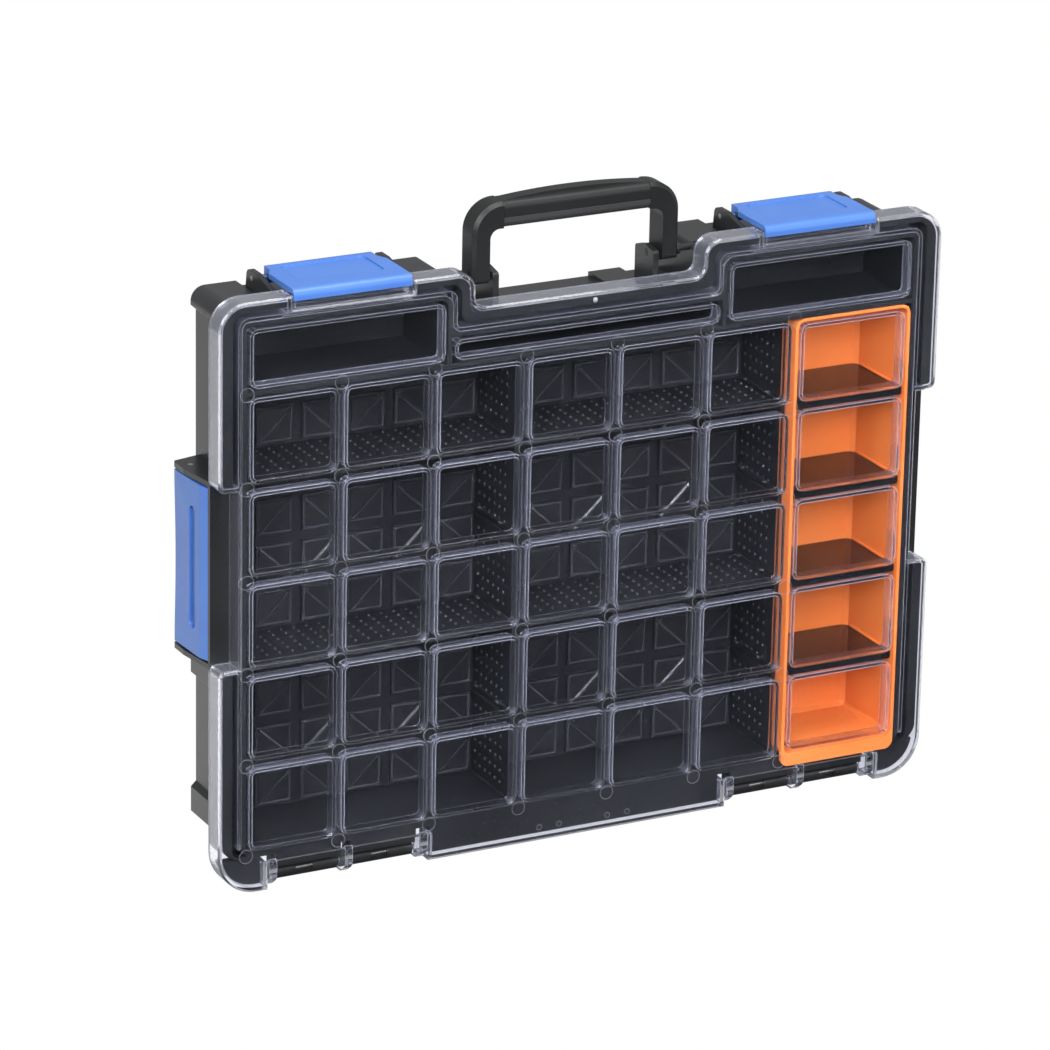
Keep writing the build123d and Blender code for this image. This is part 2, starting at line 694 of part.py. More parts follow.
def make_long_divider(x):
    """Divider over the full height of the block, with slots for the row dividers."""
    low = TRAY_BASE + WALL + DIVIDER_GAP
    high = GRID_TOP - WALL / 2 - DIVIDER_GAP
    far = FLOOR_FRONT + CHANNEL - DIVIDER_GAP
    divider = block(x - DIVIDER / 2, x + DIVIDER / 2, LONG_DIVIDER_FRONT, far, low, high)
    sides = (-1,) if x == LONG_LINES[-1] else (-1, 1)
    rail_near = LONG_DIVIDER_FRONT + 1
    for side in sides:
        for z in ROW_LINES[1:-1]:
            divider += rail_pair(z, rail_near, FLOOR_FRONT - DIVIDER_GAP, x + side * DIVIDER / 2, side)
    return divider


def make_row_divider(block_index, z):
    """Divider across one block, standing in the slots on both sides."""
    left = COLUMN_LINES[0] if block_index == 0 else LONG_LINES[0] + DIVIDER / 2
    right = LONG_LINES[block_index] - DIVIDER / 2
    far = FLOOR_FRONT + CHANNEL - DIVIDER_GAP
    return block(
        left + DIVIDER_GAP, right - DIVIDER_GAP, ROW_DIVIDER_FRONT, far,
        z - DIVIDER / 2, z + DIVIDER / 2,
    )


def bin_box(inset):
    """The bin's tapered body, moved inwards on every side by the inset."""
    left = LONG_LINES[-1] + DIVIDER / 2 + BIN_GAP + inset
    right = INNER_HALF - BIN_GAP - inset
    low = TRAY_BASE + WALL + BIN_GAP + inset
    high = GRID_TOP - WALL / 2 - BIN_GAP - inset
    far = FLOOR_FRONT - BIN_GAP - inset
    face = facet_rectangle(right - left, high - low, BIN_CORNER - inset)
    plane = Plane(
        origin=((left + right) / 2, FRONT + BIN_FRONT, (low + high) / 2),
        x_dir=(1, 0, 0),
        z_dir=(0, 1, 0),
    )
    return extrude(plane * face, amount=far - BIN_FRONT, taper=BIN_DRAFT)


def make_bin():
    """Lift-out bin with sloped walls, a lip over the bottom wall and slots for its dividers."""
    body = bin_box(0)
    hollow = bin_box(BIN_WALL)
    hollow = chamfer(hollow.edges().group_by(Axis.Y)[-1], BIN_FLOOR_BEVEL)
    left = LONG_LINES[-1] + DIVIDER / 2 + BIN_GAP
    right = INNER_HALF - BIN_GAP
    low = TRAY_BASE + WALL + BIN_GAP
    lip = rounded(
        [(left, low - BIN_LIP), (right, low - BIN_LIP), (right, low + 6), (left, low + 6)],
        [BIN_CORNER, BIN_CORNER, 0, 0],
    )
    body += slab(lip, BIN_FRONT, LOW_WALL_FRONT - SEAM)
    body -= hollow
    body -= slab(Pos((left + right) / 2, low + BIN_WALL + 8) * Rectangle(right - left - 8, 16), 0, 8)
    gap = BIN_DIVIDER / 2 + DIVIDER_GAP
    ribs = []
    for z in ROW_LINES[1:-1]:
        for face, side in ((left + BIN_WALL, 1), (right - BIN_WALL, -1)):
            for up in (-1, 1):
                low_z, high_z = sorted((z + up * gap, z + up * (gap + BIN_RIB)))
                ends = sorted((face - side * BIN_RIB, face + side * BIN_WALL))
                far = FLOOR_FRONT - 3 * BIN_FLOOR_BEVEL
                ribs.append(block(ends[0], ends[1], BIN_DIVIDER_FRONT, far, low_z, high_z))
    return body + ribs


def make_bin_divider(z):
    """Black divider across the bin, narrower towards the back like the bin itself."""
    left = LONG_LINES[-1] + DIVIDER / 2 + BIN_GAP + BIN_WALL + DIVIDER_GAP
    right = INNER_HALF - BIN_GAP - BIN_WALL - DIVIDER_GAP
    near = BIN_DIVIDER_FRONT
    far = FLOOR_FRONT - BIN_GAP - BIN_WALL - BIN_GAP
    taper = tan(radians(BIN_DRAFT)) * (far - near)
    start = tan(radians(BIN_DRAFT)) * (near - BIN_FRONT)
    left += start
    right -= start
    points = [(left, near), (right, near), (right - taper, far), (left + taper, far)]
    corner = 2 * BIN_FLOOR_BEVEL
    return along_z(rounded(points, [0, 0, corner, corner]), z - BIN_DIVIDER / 2, z + BIN_DIVIDER / 2)


def make_latch():
    """Right-hand top latch: a curved flap with a hooked lip, a finger recess and a rear barrel."""
    left = LATCH_INNER + LATCH_SIDE_GAP
    right = LATCH_OUTER - LATCH_SIDE_GAP
    roof = LATCH_TOP_Z
    under = roof - LATCH_SHEET
    back = LATCH_PIVOT_DEPTH + BARREL_RADIUS
    lip_low = LID_TOP - LATCH_HOOK - 0.4
    section = rounded(
        [(0, lip_low), (LATCH_LIP, lip_low), (LATCH_LIP, under), (back, under), (back, roof), (0, roof)],
        [0, 0, 0, 0, 2.8, 4],
    )
    section += Pos(LATCH_PIVOT_DEPTH, LATCH_PIVOT_Z) * Circle(BARREL_RADIUS)
    flap = along_x(section, left, right)
    hip = back - LATCH_HIP
    waist = hip + 2 * LATCH_WAIST
    plan = rounded(
        [
            (left, -1),
            (right, -1),
            (right, hip),
            (right - LATCH_WAIST, waist),
            (right - LATCH_WAIST, back + 1),
            (left + LATCH_WAIST, back + 1),
            (left + LATCH_WAIST, waist),
            (left, hip),
        ],
        [0, 0, 3, 3, 5, 5, 3, 3],
    )
    flap = flap & along_z(plan, TRAY_TOP, roof + 1)
    centre = (left + right) / 2
    press = Pos(centre, PRESS_DEPTH) * RectangleRounded(PRESS_WIDTH, PRESS_LENGTH, 4)
    flap -= along_z(press, roof - PRESS_DROP, roof + 1)
    flap -= rod_x(LATCH_PIVOT_DEPTH, LATCH_PIVOT_Z, PIN_RADIUS + RUN_GAP, left - 1, right + 1)
    return flap


def make_side_latch():
    """Right-hand side latch: a shell with a hollowed outer face round an upright pin."""
    outer = SIDE_LATCH_X
    back = SIDE_LATCH_BACK
    low = CUT_LOW + SIDE_LATCH_CLEAR
    high = CUT_HIGH - SIDE_LATCH_CLEAR
    front = FLANGE_BACK + SEAM
    inside = outer - SIDE_LATCH_SHEET
    nose = LID_HALF - 1
    section = rounded(
        [
            (nose, front),
            (outer - 1.5, front + 6),
            (outer, back),
            (inside, back),
            (inside - 1.5, front + 8),
            (nose - SIDE_LATCH_NOSE, front),
        ],
        [0, 4, 1.5, 0, 3, 0],
    )
    section += Pos(SIDE_PIVOT_X, SIDE_PIVOT_DEPTH) * Circle(BARREL_RADIUS)
    arm = [
        (SIDE_PIVOT_X, SIDE_PIVOT_DEPTH - 2),
        (outer - 1.5, SIDE_PIVOT_DEPTH - 2),
        (outer - 1.5, SIDE_PIVOT_DEPTH + 2),
        (SIDE_PIVOT_X, SIDE_PIVOT_DEPTH + 2),
    ]
    section += rounded(arm, [0, 0, 0, 0])
    shell = along_z(section, low, high)
    reach = high - low
    hollow_radius = reach * reach / 8 / SIDE_LATCH_DISH
    middle = (low + high) / 2
    dish = Pos(outer - SIDE_LATCH_DISH + hollow_radius, middle) * Circle(hollow_radius)
    shell -= slab(dish, FLANGE_FRONT, DEPTH)
    slot = Plane(origin=(outer + 1, FRONT + SIDE_SLOT_DEPTH, middle), x_dir=(0, 1, 0), z_dir=(1, 0, 0))
    groove = slot * SlotCenterToCenter(SIDE_SLOT_LENGTH, SIDE_SLOT, rotation=90)
    shell -= extrude(groove, amount=-1 - SIDE_SLOT_DROP)
    shell -= rod_z(SIDE_PIVOT_X, SIDE_PIVOT_DEPTH, PIN_RADIUS + RUN_GAP, low - 1, high + 1)
    return shell


def handle_profile():
    """Front view of the bail, from its feet up to the grip."""
    foot = HANDLE_PIVOT_Z - HANDLE_FOOT_DROP
    half = HANDLE_HALF
    inner = half - HANDLE_ARM
    under = HANDLE_TOP - GRIP_HEIGHT
    outer_corner = HANDLE_OUTER_CORNER
    inner_corner = HANDLE_INNER_CORNER
    outside = rounded(
        [(half, foot), (half, HANDLE_TOP), (-half, HANDLE_TOP), (-half, foot)],
        [0, outer_corner, outer_corner, 0],
    )
    inside = rounded(
        [(inner, foot - 5), (inner, under), (-inner, under), (-inner, foot - 5)],
        [0, inner_corner, inner_corner, 0],
    )
    return outside - inside


def make_handle_frame():
    """Bail: two arms with rounded feet and corners, and the core bar inside the grip."""
    near = HANDLE_FRONT
    far = HANDLE_FRONT + HANDLE_THICK
    bail = slab(handle_profile(), near, far)
    middle = slab(Rectangle(2 * GRIP_HALF, BIG), near - 1, far + 1)
    bail -= middle
    long_edges = bail.edges().filter_by(GeomType.CIRCLE).group_by(Axis.Y)
    soft = [edge for edge in long_edges[0] + long_edges[-1] if edge.radius > 10]
    bail = chamfer(soft, 2.0)
    foot = HANDLE_PIVOT_Z - HANDLE_FOOT_DROP
    round_foot = along_x(
        rounded(
            [(near, foot), (far, foot), (far, HANDLE_TOP + 5), (near, HANDLE_TOP + 5)],
            [4, 4, 0, 0],
        ),
        -HANDLE_HALF - 1, HANDLE_HALF + 1,
    )
    bail = bail & round_foot
    core = block(
        -GRIP_HALF - 4, GRIP_HALF + 4, near + 3, far - 3,
        HANDLE_TOP - GRIP_HEIGHT + 3, HANDLE_TOP - 3,
    )
    bail += core
    hole = HANDLE_PIN_RADIUS + RUN_GAP
    bail -= both_sides([
        rod_x(HANDLE_MID, HANDLE_PIVOT_Z, hole, HANDLE_HALF - HANDLE_ARM - 1, HANDLE_HALF + 1)
    ])
    return bail


def grip_section(low, high):
    """Rounded outer section of the grip between two heights."""
    near = HANDLE_FRONT
    far = HANDLE_FRONT + HANDLE_THICK
    under = HANDLE_TOP - GRIP_HEIGHT
    whole = rounded(
        [(near, under), (far, under), (far, HANDLE_TOP), (near, HANDLE_TOP)], [3.5, 3.5, 4, 4]
    )
    band = Pos((near + far) / 2, (low + high) / 2) * Rectangle(HANDLE_THICK + 2, high - low)
    return whole & band


def grip_core():
    """The space taken by the bail's core bar inside the grip."""
    gap = 0.1
    return block(
        -GRIP_HALF - 5, GRIP_HALF + 5, HANDLE_FRONT + 3 - gap, HANDLE_FRONT + HANDLE_THICK - 3 + gap,
        HANDLE_TOP - GRIP_HEIGHT + 3 - gap, HANDLE_TOP - 3 + gap,
    )


def make_grip_upper():
    """Upper grip shell with its gentle crown."""
    split = HANDLE_TOP - GRIP_HEIGHT + GRIP_LOWER
    half = GRIP_HALF - 0.1
    shell = along_x(grip_section(split, HANDLE_TOP), -half, half)
    radius = half * half / 2 / GRIP_CROWN
    crown = Pos(0, HANDLE_TOP + GRIP_CROWN - radius) * Circle(radius)
    band = Pos(0, HANDLE_TOP) * Rectangle(2 * half, 2 * GRIP_CROWN)
    cap = slab(crown & band, HANDLE_FRONT + 4, HANDLE_FRONT + HANDLE_THICK - 4)
    return shell + cap - grip_core()


def make_grip_lower():
    """Softer strip under the fingers."""
    split = HANDLE_TOP - GRIP_HEIGHT + GRIP_LOWER
    half = GRIP_HALF - 0.1
    strip = along_x(grip_section(HANDLE_TOP - GRIP_HEIGHT, split - 0.1), -half, half)
    return strip - grip_core()


def make_handle_pin():
    """Right-hand handle pin with its collar, from the lug into the boss beside the notch."""
    pin = rod_x(HANDLE_MID, HANDLE_PIVOT_Z, HANDLE_PIN_RADIUS, LUG_INNER, BOSS_HALF + BUMPER)
    near = HANDLE_HALF + LUG_GAP / 2
    collar = rod_x(
        HANDLE_MID, HANDLE_PIVOT_Z, HANDLE_PIN_RADIUS + COLLAR, near, near + COLLAR_WIDTH
    )
    return pin + collar


def make_latch_pin():
    """Pin through the fins and the rear barrel of the right-hand top latch."""
    left = LATCH_INNER - FIN_GAP - FIN
    right = LATCH_OUTER + FIN_GAP + FIN
    return rod_x(LATCH_PIVOT_DEPTH, LATCH_PIVOT_Z, PIN_RADIUS, left, right)


def make_side_pin():
    """Upright pin of the right-hand side latch."""
    return rod_z(
        SIDE_PIVOT_X, SIDE_PIVOT_DEPTH, PIN_RADIUS, CUT_LOW - SIDE_PLATE, CUT_HIGH + SIDE_PLATE
    )


def make_hinge_pin():
    """Right-hand hinge pin, through the outer hooks of its hinge."""
    half = HOOK_WIDTH / 2
    return rod_x(
        HINGE_DEPTH, HINGE_Z, HINGE_PIN_RADIUS, HOOK_PLACES[0] - half, HOOK_PLACES[-1] + half
    )


def save(name, shape):
    """Write one piece to its own file."""
    shape.label = name
    export_step(shape, f"parts/{name}.step")


def main():
    os.makedirs("parts", exist_ok=True)
    save("tray", make_tray())
    save("lid", make_lid())
    for name, x in zip(("long_divider_left", "long_divider_right"), LONG_LINES):
        save(name, make_long_divider(x))
    for height, z in zip(("upper", "lower"), DIVIDED_ROWS):
        for index, side in enumerate(("left", "right")):
            save(f"row_divider_{height}_{side}", make_row_divider(index, z))
    save("accessory_bin", make_bin())
    for number, z in enumerate(reversed(ROW_LINES[1:-1]), start=1):
        save(f"bin_divider_{number}", make_bin_divider(z))
    pairs = {
        "latch": make_latch(),
        "latch_pin": make_latch_pin(),
        "side_latch": make_side_latch(),
        "side_latch_pin": make_side_pin(),
        "handle_pin": make_handle_pin(),
        "hinge_pin": make_hinge_pin(),
    }
    for name, piece in pairs.items():
        save(f"{name}_right", piece)
        save(f"{name}_left", mirror(piece, about=Plane.YZ))
    save("handle_frame", make_handle_frame())
    save("handle_grip_upper", make_grip_upper())
    save("handle_grip_lower", make_grip_lower())


main()
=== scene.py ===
import math

import bmesh
import bpy
from mathutils import Matrix, Vector


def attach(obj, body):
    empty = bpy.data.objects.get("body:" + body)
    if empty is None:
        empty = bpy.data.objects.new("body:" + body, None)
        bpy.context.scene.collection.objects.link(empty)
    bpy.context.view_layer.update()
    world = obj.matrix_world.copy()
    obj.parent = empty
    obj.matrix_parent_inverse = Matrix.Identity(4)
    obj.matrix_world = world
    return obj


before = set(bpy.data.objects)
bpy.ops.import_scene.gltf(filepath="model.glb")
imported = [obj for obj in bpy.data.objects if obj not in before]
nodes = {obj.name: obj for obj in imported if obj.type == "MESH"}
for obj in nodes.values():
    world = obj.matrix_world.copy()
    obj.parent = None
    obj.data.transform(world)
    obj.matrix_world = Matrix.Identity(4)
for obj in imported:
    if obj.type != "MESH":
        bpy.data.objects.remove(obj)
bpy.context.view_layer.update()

scene = bpy.context.scene

# The tray is one deep shell of black polypropylene, injection moulded in a single shot.
# The mould's spark texture gives it a satin skin that turns grey where light rakes over it.
# Everything else is hooked, pinned or dropped into it.
MM = 0.001                     # all lengths are in millimetres, and this turns them to metres
POLYPROPYLENE = 1.49           # index of refraction
FLOW_LENGTH = 45.0             # length of the flow marks in a moulding
FLOW_RANGE = (0.35, 0.65)      # the noise values between which the two colours blend
GRAIN_HEIGHT = 0.05
MOULD_EDGE = 0.4               # radius of a moulding's edges
BEVEL_SAMPLES = 4
# The numbers of a Mix node's sockets, several of which have one name.
FACTOR, NUMBER_A, NUMBER_B, COLOUR_A, COLOUR_B, COLOUR_RESULT = 0, 2, 3, 6, 7, 2


def linear(code):
    """Turns an sRGB hex colour into linear light."""
    parts = [int(code[i:i + 2], 16) / 255 for i in (1, 3, 5)]
    return [c / 12.92 if c <= 0.04045 else ((c + 0.055) / 1.055) ** 2.4 for c in parts] + [1.0]


def add(tree, kind, settings=None, links=None):
    """Adds one node with its settings, and links its inputs by name or number."""
    made = tree.nodes.new(kind)
    for key, value in (settings or {}).items():
        if isinstance(key, str) and hasattr(made, key):
            setattr(made, key, value)
        else:
            made.inputs[key].default_value = value
    for key, source in (links or {}).items():
        tree.links.new(source, made.inputs[key])
    return made


def new_material(name):
    """An empty material with a Principled shader on its output."""
    material = bpy.data.materials.new(name)
    material.use_nodes = True
    tree = material.node_tree
    tree.nodes.clear()
    shader = add(tree, "ShaderNodeBsdfPrincipled")
    add(tree, "ShaderNodeOutputMaterial", links={"Surface": shader.outputs["BSDF"]})
    return material, tree, shader


def moulded(name, colours, roughness, spread, grain, bump, ior=POLYPROPYLENE, specular=0.5):
    """Moulded plastic: faint flow marks between two colours and a satin grain on the skin.

    The real grain is finer than 0.2 mm, and is drawn about 1 mm long so that it shows.
    """
    material, tree, shader = new_material(name)
    place = add(tree, "ShaderNodeTexCoord").outputs["Object"]
    flow = add(tree, "ShaderNodeTexNoise", {
        "Scale": 1 / (FLOW_LENGTH * MM), "Detail": 2.0,
    }, {"Vector": place})
    share = add(tree, "ShaderNodeMapRange", {
        "From Min": FLOW_RANGE[0], "From Max": FLOW_RANGE[1],
    }, {"Value": flow.outputs["Fac"]})
    paint = add(tree, "ShaderNodeMix", {
        "data_type": "RGBA", COLOUR_A: linear(colours[0]), COLOUR_B: linear(colours[1]),
    }, {FACTOR: share.outputs["Result"]})
    skin = add(tree, "ShaderNodeTexNoise", {
        "Scale": 1 / (grain * MM), "Detail": 1.0,
    }, {"Vector": place})
    rough = add(tree, "ShaderNodeMapRange", {
        "To Min": roughness - spread, "To Max": roughness + spread,
    }, {"Value": skin.outputs["Fac"]})
    # The rounded normal softens the edges, as the corner radius of every mould does.
    rounding = add(tree, "ShaderNodeBevel", {
        "samples": BEVEL_SAMPLES, "Radius": MOULD_EDGE * MM,
    })
    relief = add(tree, "ShaderNodeBump", {"Strength": bump, "Distance": GRAIN_HEIGHT * MM}, {
        "Height": skin.outputs["Fac"], "Normal": rounding.outputs["Normal"],
    })
    tree.links.new(paint.outputs[COLOUR_RESULT], shader.inputs["Base Color"])
    tree.links.new(rough.outputs["Result"], shader.inputs["Roughness"])
    tree.links.new(relief.outputs["Normal"], shader.inputs["Normal"])
    shader.inputs["IOR"].default_value = ior
    shader.inputs["Specular IOR Level"].default_value = specular
    return material


def dress(material, *names):
    """Gives pieces that are already in the frame their finish."""
    for name in names:
        nodes[name].data.materials.clear()
        nodes[name].data.materials.append(material)


tray_plastic = moulded(
    "spark_textured_black_polypropylene", ("#1b1c1e", "#232426"),
    roughness=0.3, spread=0.06, grain=0.9, bump=0.3,
)
dress(tray_plastic, "tray")

# Every pad on the tray's floor has a fine rim and a low step, and its outer corner is left lower.
# They are moulded with the tray; the slopes of one cell's four steps together draw a diamond.
# The mould was cut and polished here, not spark textured, so lines and pips catch the light; their
# lighter grey is a painted highlight.
LID_FACE = -31.0               # where the lid's front face lies, from the middle of the depth
COLUMN = 54.5                  # distance between column lines
ROW = 52.24                    # distance between row lines
LEFT_LINE = -200.5             # first column line
LOW_LINE = 21.1                # first row line
COLUMNS = 6
ROWS = 5
FLOOR_DEPTH = 57.0             # depth of the raised pads on the tray's floor
PAD_CHANNEL = 5.5              # width of the channels between the pads
PAD_CORNER = 2.0
STEP_RISE = 0.8
STEP_MARGIN = 0.9              # from the pad's edge to its step
STEP_CORNER = 1.6
CORNER_FACETS = 2              # flats on each rounded corner
RIM_RADIUS = 0.42
RAMP_WIDTH = 1.35              # width of the slope along the long side of each step
RAMP_TRIM = 0.07               # the share of that side that each end of the slope leaves free
EMBED = 0.05                   # how far such relief reaches into the floor
RAMP_FOOT_EMBED = 0.01         # the same at the thin lower edge of a slope
# The tray's black plastic drawn a lighter grey: a painted highlight on the rims, slopes, pips and
# catches.
highlight_lightened_plastic = moulded(
    "tool_cut_black_polypropylene_painted_highlight", ("#36373b", "#3e3f43"),
    roughness=0.17, spread=0.04, grain=0.9, bump=0.05,
)


def at(x, depth, z):
    """A place given as width, depth behind the lid's face and height, in millimetres."""
    return Vector((x * MM, (depth + LID_FACE) * MM, z * MM))


def grid_tree():
    """A geometry tree that repeats the piece's own shape along two steps, each with a count."""
    tree = bpy.data.node_groups.new("repeat_on_grid", "GeometryNodeTree")
    sockets = {
        "Geometry": "NodeSocketGeometry",
        "First Step": "NodeSocketVector", "First Count": "NodeSocketInt",
        "Second Step": "NodeSocketVector", "Second Count": "NodeSocketInt",
        "Finish": "NodeSocketMaterial",
    }
    for label, kind in sockets.items():
        tree.interface.new_socket(label, in_out="INPUT", socket_type=kind)
    tree.interface.new_socket("Geometry", in_out="OUTPUT", socket_type="NodeSocketGeometry")
    source = add(tree, "NodeGroupInput").outputs
    rows = [
        add(tree, "GeometryNodeMeshLine", {"mode": "OFFSET"}, {
            "Count": source[f"{rank} Count"], "Offset": source[f"{rank} Step"],
        }).outputs["Mesh"]
        for rank in ("First", "Second")
    ]
    spread = add(tree, "GeometryNodeInstanceOnPoints", links={
        "Points": rows[0], "Instance": rows[1],
    })
    points = add(tree, "GeometryNodeRealizeInstances", links={
        "Geometry": spread.outputs["Instances"],
    })
    copies = add(tree, "GeometryNodeInstanceOnPoints", links={
        "Points": points.outputs["Geometry"], "Instance": source["Geometry"],
    })
    real = add(tree, "GeometryNodeRealizeInstances", links={
        "Geometry": copies.outputs["Instances"],
    })
    skin = add(tree, "GeometryNodeSetMaterial", links={
        "Geometry": real.outputs["Geometry"], "Material": source["Finish"],
    })
    add(tree, "NodeGroupOutput", links={"Geometry": skin.outputs["Geometry"]})
    return tree


repeat_on_grid = grid_tree()


def piece_of(name, build):
    """A mesh object filled by a function that draws in a bmesh."""
    work = bmesh.new()
    build(work)
    bmesh.ops.recalc_face_normals(work, faces=work.faces)
    mesh = bpy.data.meshes.new(name)
    work.to_mesh(mesh)
    work.free()
    piece = bpy.data.objects.new(name, mesh)
    scene.collection.objects.link(piece)
    return piece


def seat(piece, body, material, smooth=False):
    """Finishes a piece: its modifiers become mesh, it gets its finish and rides on its body."""
    bpy.context.view_layer.update()
    final = piece.evaluated_get(bpy.context.evaluated_depsgraph_get())
    mesh = bpy.data.meshes.new_from_object(final)
    piece.modifiers.clear()
    piece.data = mesh
    mesh.materials.clear()
    mesh.materials.append(material)
    mesh.polygons.foreach_set("material_index", [0] * len(mesh.polygons))
    mesh.polygons.foreach_set("use_smooth", [smooth] * len(mesh.polygons))
    mesh.update()
    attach(piece, body)


def repeated(name, build, body, material, first, second, smooth=False):
    """A small shape drawn once and repeated on a grid of two steps in millimetres, with counts."""
    piece = piece_of(name, build)
    modifier = piece.modifiers.new("grid", "NODES")
    modifier.node_group = repeat_on_grid
    values = {"Finish": material}
    for rank, (step, count) in (("First", first), ("Second", second)):
        values[f"{rank} Step"] = [v * MM for v in step]
        values[f"{rank} Count"] = count
    for item in repeat_on_grid.interface.items_tree:
        if item.in_out == "INPUT" and item.name in values:
            modifier[item.identifier] = values[item.name]
    seat(piece, body, material, smooth)


def prism(work, outline, near, far):
    """Adds a closed solid with an outline in width and height, between two depths."""
    front = [work.verts.new(at(x, near, z)) for x, z in outline]
    back = [work.verts.new(at(x, far, z)) for x, z in outline]
    work.faces.new(front)
    work.faces.new(back[::-1])
    for i, j in zip(range(len(outline)), [*range(1, len(outline)), 0]):
        work.faces.new((front[j], front[i], back[i], back[j]))


def rounded(points, radius):
    """Rounds the corners of a convex outline."""
    line = []
    count = len(points)
    for i in range(count):
        before, corner, after = (Vector(points[(i + k) % count]) for k in (-1, 0, 1))
        back, ahead = (before - corner).normalized(), (after - corner).normalized()
        half = back.angle(ahead) / 2
        centre = corner + (back + ahead).normalized() * (radius / math.sin(half))
        start = corner + back * (radius / math.tan(half)) - centre
        end = corner + ahead * (radius / math.tan(half)) - centre
        for k in range(CORNER_FACETS + 1):
            line.append(tuple(centre + start.slerp(end, k / CORNER_FACETS)))
    return line


def bead(work, outline, depth, radius):
    """Adds a closed bead with four sides along an outline in width and height."""
    loops = []
    for i in range(len(outline)):
        before, here, after = (Vector(outline[(i + k) % len(outline)]) for k in (-1, 0, 1))
        way = (after - before).normalized() * radius
        loops.append([
            work.verts.new(at(here.x + out * way.y, depth + deep * radius, here.y - out * way.x))
            for out, deep in ((1, 0), (0, -1), (-1, 0), (0, 1))
        ])
    for near, far in zip(loops, loops[1:] + loops[:1]):
        for k in range(4):
            m = (k + 1) % 4
            work.faces.new((near[k], near[m], far[m], far[k]))


def cell_outlines():
    """The pads of the lower left cell, each with its step, its lower corner and its slope."""
    wide = (COLUMN / 2 - PAD_CHANNEL) / 2
    tall = (ROW / 2 - PAD_CHANNEL) / 2
    for side in (-1, 1):
        for up in (-1, 1):
            x = LEFT_LINE + COLUMN / 2 + side * COLUMN / 4
            z = LOW_LINE + ROW / 2 + up * ROW / 4
            pad = [(x + a * wide, z + b * tall) for a, b in ((-1, -1), (1, -1), (1, 1), (-1, 1))]
            out, top = side * (wide - STEP_MARGIN), up * (tall - STEP_MARGIN)
            step = [(x - out, z + top), (x - out, z - top), (x + out, z - top)]
            corner = [(x - out, z + top), (x + out, z + top), (x + out, z - top)]
            first, last = Vector(step[0]), Vector(step[2])
            down = Vector((top, out)).normalized() * math.copysign(RAMP_WIDTH, out * top)
            ramp = (first.lerp(last, RAMP_TRIM), last.lerp(first, RAMP_TRIM), down)
            yield (
                rounded(pad, PAD_CORNER), rounded(step, STEP_CORNER),
                rounded(corner, STEP_CORNER), ramp,
            )


def cell_steps(work):
    """The four steps of the lower left cell."""
    for _, step, _, _ in cell_outlines():
        prism(work, step, FLOOR_DEPTH - STEP_RISE, FLOOR_DEPTH + EMBED)


def cell_rims(work):
    """The fine rims round the pads and the lower corners of the lower left cell."""
    for pad, _, corner, _ in cell_outlines():
        bead(work, pad, FLOOR_DEPTH, RIM_RADIUS)
        bead(work, corner, FLOOR_DEPTH, RIM_RADIUS)


def cell_ramps(work):
    """The slopes along the long sides of the lower left cell's steps."""
    for *_, (first, last, down) in cell_outlines():
        near, far = (
            [
                work.verts.new(at(end.x, FLOOR_DEPTH - STEP_RISE, end.y)),
                work.verts.new(at(end.x + down.x, FLOOR_DEPTH + RAMP_FOOT_EMBED, end.y + down.y)),
                work.verts.new(at(end.x, FLOOR_DEPTH + EMBED, end.y)),
            ]
            for end in (first, last)
        )
        work.faces.new(near)
        work.faces.new(far[::-1])
        for k in range(3):
            m = (k + 1) % 3
            work.faces.new((near[m], near[k], far[k], far[m]))


for name, build, material in (
    ("floor_pad_steps", cell_steps, tray_plastic),
    ("floor_pad_rims", cell_rims, highlight_lightened_plastic),
    ("floor_pad_ramps", cell_ramps, highlight_lightened_plastic),
):
    repeated(
        name, build, "case", material,
        ((COLUMN, 0, 0), COLUMNS), ((0, 0, ROW), ROWS),
    )

# The dividers are thin plates of the same black polypropylene that slide into moulded rails.
# Small raised pips all over them grip loose parts and thin extra dividers.
# They are moulded on, in six rows behind a plain front edge.
PIP_STEP_LEVEL = 7.5           # along the row dividers
PIP_STEP_UPRIGHT = 6.8         # up the long dividers
PIP_STEP_DEEP = 6.2
PIP_ROWS_DEEP = 6
PIP_FIRST_DEPTH = 22.8
PIP_HALF_WIDTH = 0.6
PIP_HALF_LENGTH = 0.9
PIP_RISE = 0.6
PIP_SIDES = 8
PIP_RINGS = 6
PLATE_HALF = 1.2               # from a divider's middle to the middle of its pips, in its face
END_AT_WALL = 0.3              # from the first column line to a row divider's end
END_AT_PLATE = 1.5             # from a long divider's middle to a row divider's end
LONG_PLATES = {"left": LEFT_LINE + 3 * COLUMN, "right": LEFT_LINE + COLUMNS * COLUMN}
ROW_PLATES = {"upper": LOW_LINE + 4 * ROW, "lower": LOW_LINE + 2 * ROW}
ROW_PLATE_SPANS = {
    "left": (LEFT_LINE + END_AT_WALL, LONG_PLATES["left"] - END_AT_PLATE),
    "right": (LONG_PLATES["left"] + END_AT_PLATE, LONG_PLATES["right"] - END_AT_PLATE),
}
# The heights between which pips stand on the long dividers, clear of the row dividers.
PIP_SPANS = {"upper": (233, 280), "middle": (128, 228), "lower": (24, 123)}

dress(tray_plastic, *(f"long_divider_{side}" for side in LONG_PLATES))
for height in ROW_PLATES:
    dress(tray_plastic, *(f"row_divider_{height}_{side}" for side in ROW_PLATE_SPANS))


def pip(place, half_size):
    """A function that draws one rounded pip, its equator in the plate's face."""
    def build(work):
        made = bmesh.ops.create_uvsphere(
            work, u_segments=PIP_SIDES, v_segments=PIP_RINGS, radius=1.0,
        )
        for vertex in made["verts"]:
            vertex.co = place + Vector(c * h * MM for c, h in zip(vertex.co, half_size))
    return build


